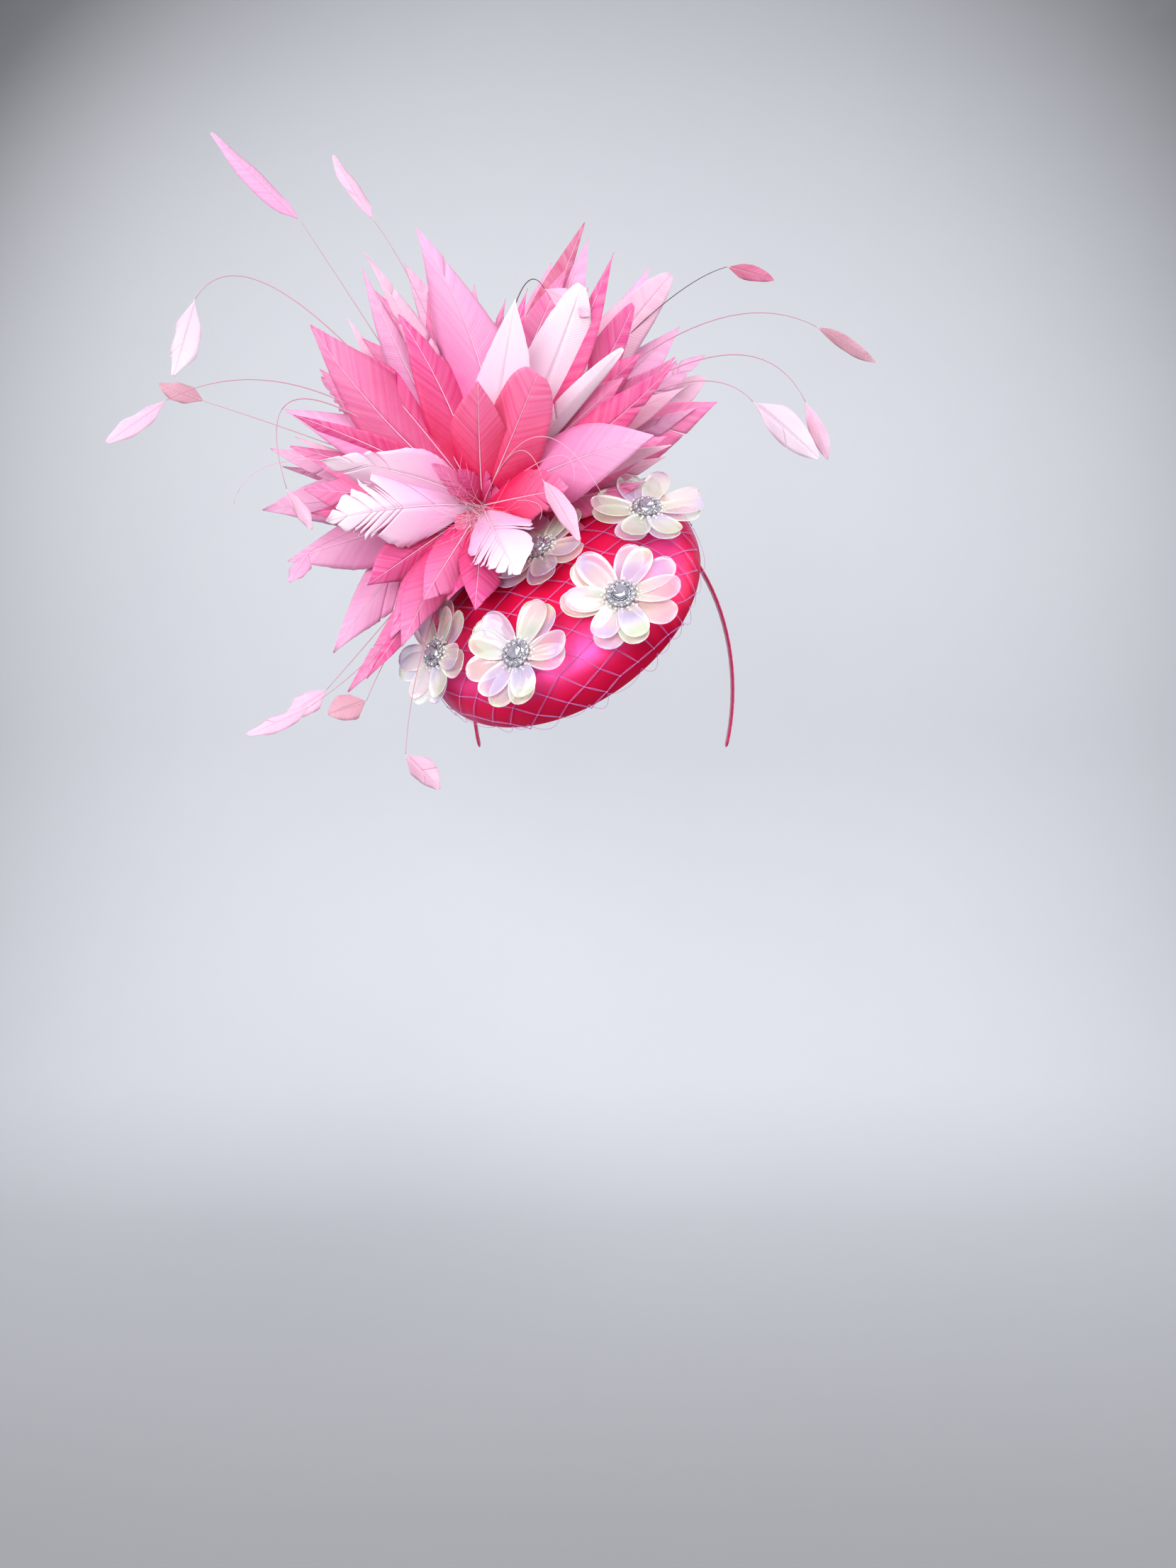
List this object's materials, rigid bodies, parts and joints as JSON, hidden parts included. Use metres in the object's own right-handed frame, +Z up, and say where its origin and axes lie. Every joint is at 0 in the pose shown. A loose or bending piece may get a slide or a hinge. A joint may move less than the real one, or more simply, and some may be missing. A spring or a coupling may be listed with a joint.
{
  "type": "fascinator headband",
  "caption": "Pink feather fascinator: a raspberry satin crown with lilac net, clear sequin flowers with crystal centres and a burst of goose feathers, on a headband",
  "frame": {"origin": "Inner top of the headband, where it sits on the top of the head", "axes": "+Z up as worn, the wearer looks along -Y, +X to the wearer's left"},
  "size_m": [0.3893, 0.1687, 0.3772],
  "materials": {
    "ribbon": "satin ribbon over a plain band",
    "satin": "raspberry pink satin with a lilac pink sheen",
    "netting": "fine lilac pink knotted net",
    "feather": "dyed goose and cock feathers in several pinks",
    "sequin": "clear iridescent film petals",
    "silver": "bright silver settings with small cut stones",
    "crystal": "clear cut crystal"
  },
  "bodies": {
    "root": {"headband": "ribbon", "crown_tip": "satin", "crown_shoulder": "satin", "crown_rim": "satin", "veil": "netting", "feather_plume": "feather", "petals_1": "sequin", "petals_2": "sequin", "petals_3": "sequin", "petals_4": "sequin", "petals_5": "sequin", "jewel_1": "silver", "jewel_2": "silver", "jewel_3": "silver", "jewel_4": "silver", "jewel_5": "silver", "crystal_1": "crystal", "crystal_2": "crystal", "crystal_3": "crystal", "crystal_4": "crystal", "crystal_5": "crystal"}
  },
  "joints": []
}
